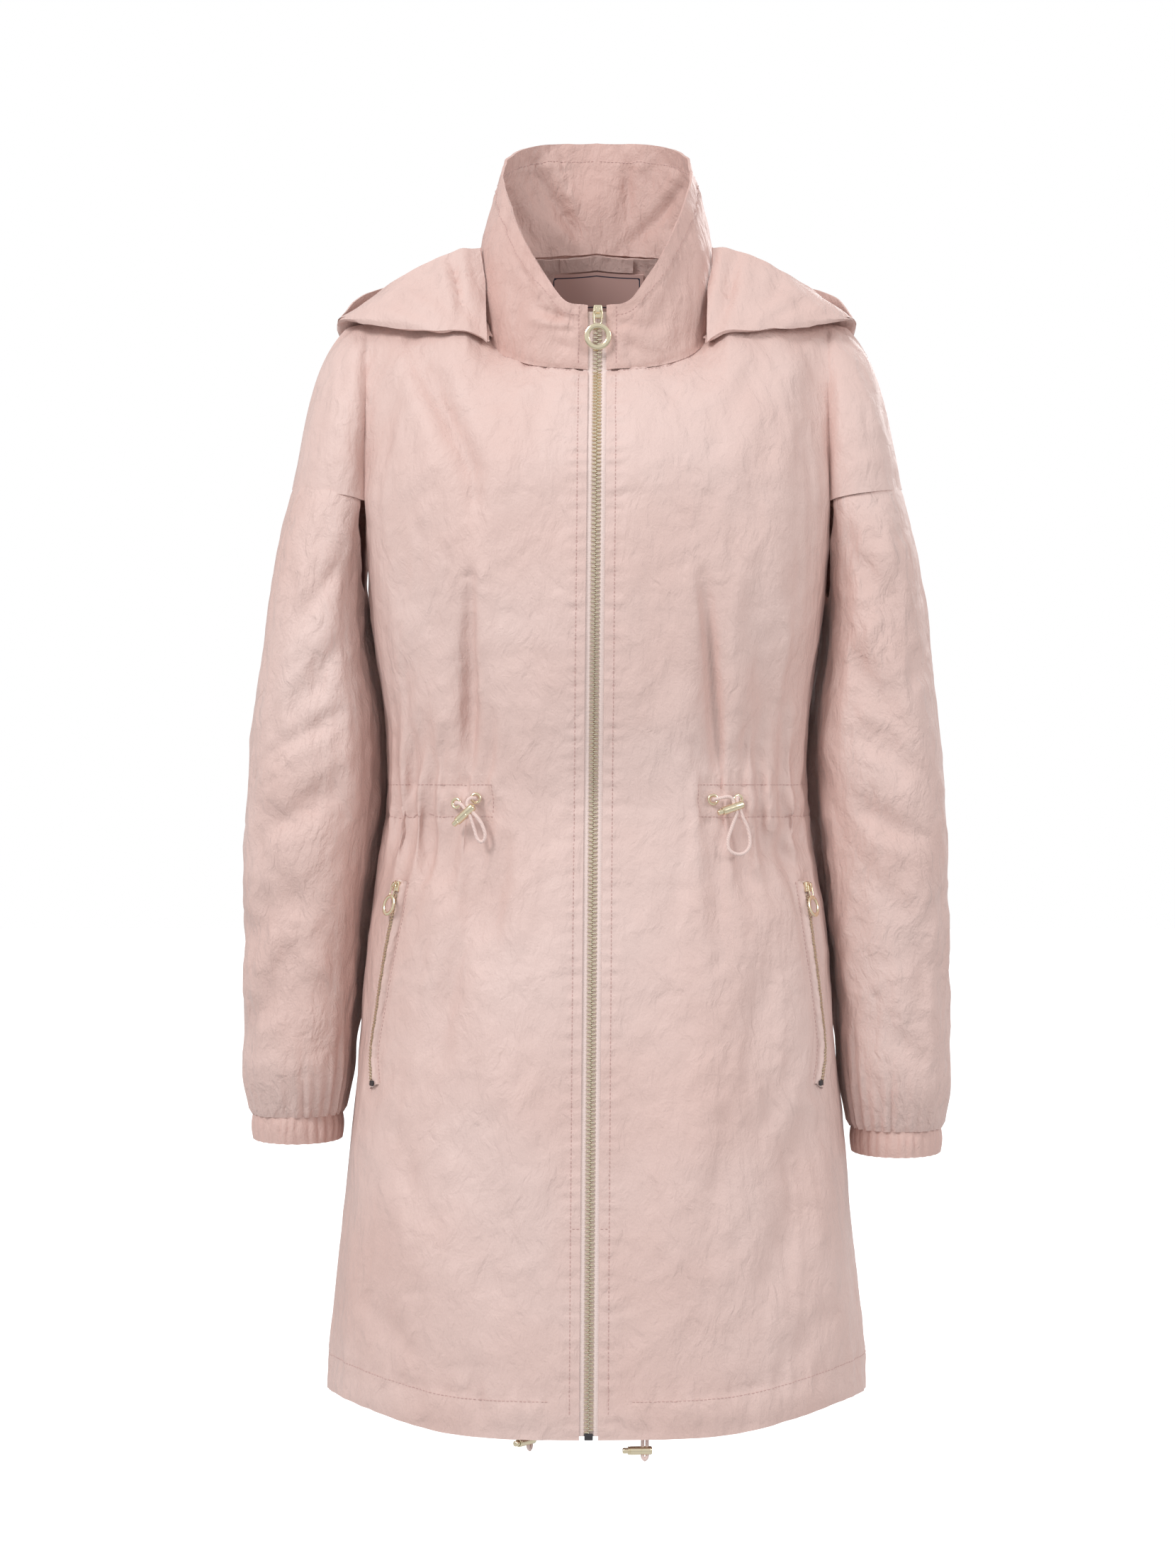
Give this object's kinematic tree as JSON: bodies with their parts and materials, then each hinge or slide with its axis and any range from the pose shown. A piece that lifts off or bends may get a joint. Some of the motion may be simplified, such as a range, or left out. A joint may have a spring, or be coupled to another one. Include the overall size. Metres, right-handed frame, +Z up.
{
  "type": "hooded parka",
  "caption": "Long hooded zip-front parka in its worn form with no wearer, with a stand collar, drawn-in waist, slanted zip pockets and gathered cuffs.",
  "frame": {"origin": "middle of the neck opening, level with the back neck seam, where the wearer's neck holds the garment up", "axes": "+Z up along the neck, -Y towards the front of the garment, +X towards the wearer's left"},
  "size_m": [0.5278, 0.3062, 0.9664],
  "materials": {
    "shell": "thin plain woven cloth with a soft sheen",
    "ribbon": "ribbed woven tape",
    "label": "smooth woven label",
    "cord": "braided elastic cord",
    "gold": "polished pale gold plating",
    "dark": "dark enamel"
  },
  "bodies": {
    "garment": {"back": "shell", "front_left": "shell", "front_right": "shell", "sleeve_left": "shell", "sleeve_right": "shell", "cuff_left": "shell", "cuff_right": "shell", "collar": "shell", "hood": "shell", "hanger_loop": "ribbon", "neck_label": "label", "zip_tape_left": "ribbon", "zip_tape_right": "ribbon", "zip_chain": "gold", "zip_slider": "gold", "zip_box": "dark", "pocket_tape_left": "ribbon", "pocket_chain_left": "gold", "pocket_slider_left": "gold", "pocket_stop_left": "dark", "eyelet_left_1": "gold", "eyelet_left_2": "gold", "waist_cord_left": "cord", "waist_lock_left": "gold", "hem_cord_left": "cord", "hem_lock_left": "gold", "pocket_tape_right": "ribbon", "pocket_chain_right": "gold", "pocket_slider_right": "gold", "pocket_stop_right": "dark", "eyelet_right_1": "gold", "eyelet_right_2": "gold", "waist_cord_right": "cord", "waist_lock_right": "gold", "hem_cord_right": "cord", "hem_lock_right": "gold"},
    "zip_pull_body": {"zip_pull": "gold"},
    "pocket_pull_left_body": {"pocket_pull_left": "gold"},
    "pocket_pull_right_body": {"pocket_pull_right": "gold"},
    "waist_plunger_left_body": {"waist_plunger_left": "gold"},
    "waist_plunger_right_body": {"waist_plunger_right": "gold"},
    "hem_plunger_left_body": {"hem_plunger_left": "gold"},
    "hem_plunger_right_body": {"hem_plunger_right": "gold"}
  },
  "joints": [
    {"name": "zip_pull_hinge", "type": "hinge", "parent": "garment", "child": "zip_pull_body", "pos_m": [0.00044, -0.08276, -0.0563], "axis": [-1, 0, 0], "range_deg": [0, 160]},
    {"name": "pocket_pull_left_hinge", "type": "hinge", "parent": "garment", "child": "pocket_pull_left_body", "pos_m": [0.15454, -0.06398, -0.47162], "axis": [-0.6195, -0.7849, 0.0114], "range_deg": [0, 150]},
    {"name": "pocket_pull_right_hinge", "type": "hinge", "parent": "garment", "child": "pocket_pull_right_body", "pos_m": [-0.14676, -0.07521, -0.47083], "axis": [-0.6529, 0.7505, 0.1018], "range_deg": [0, 150]},
    {"name": "waist_plunger_left_slide", "type": "slide", "parent": "garment", "child": "waist_plunger_left_body", "axis": [0.8772, 0.3649, 0.3121], "range_m": [0, 0.0032], "stiffness_N_per_m": 300},
    {"name": "waist_plunger_right_slide", "type": "slide", "parent": "garment", "child": "waist_plunger_right_body", "axis": [0.7042, -0.2564, 0.6621], "range_m": [0, 0.0032], "stiffness_N_per_m": 300},
    {"name": "hem_plunger_left_slide", "type": "slide", "parent": "garment", "child": "hem_plunger_left_body", "axis": [0.9976, 0.0698, 0], "range_m": [0, 0.0032], "stiffness_N_per_m": 300},
    {"name": "hem_plunger_right_slide", "type": "slide", "parent": "garment", "child": "hem_plunger_right_body", "axis": [0.6428, 0.766, 0], "range_m": [0, 0.0032], "stiffness_N_per_m": 300}
  ]
}
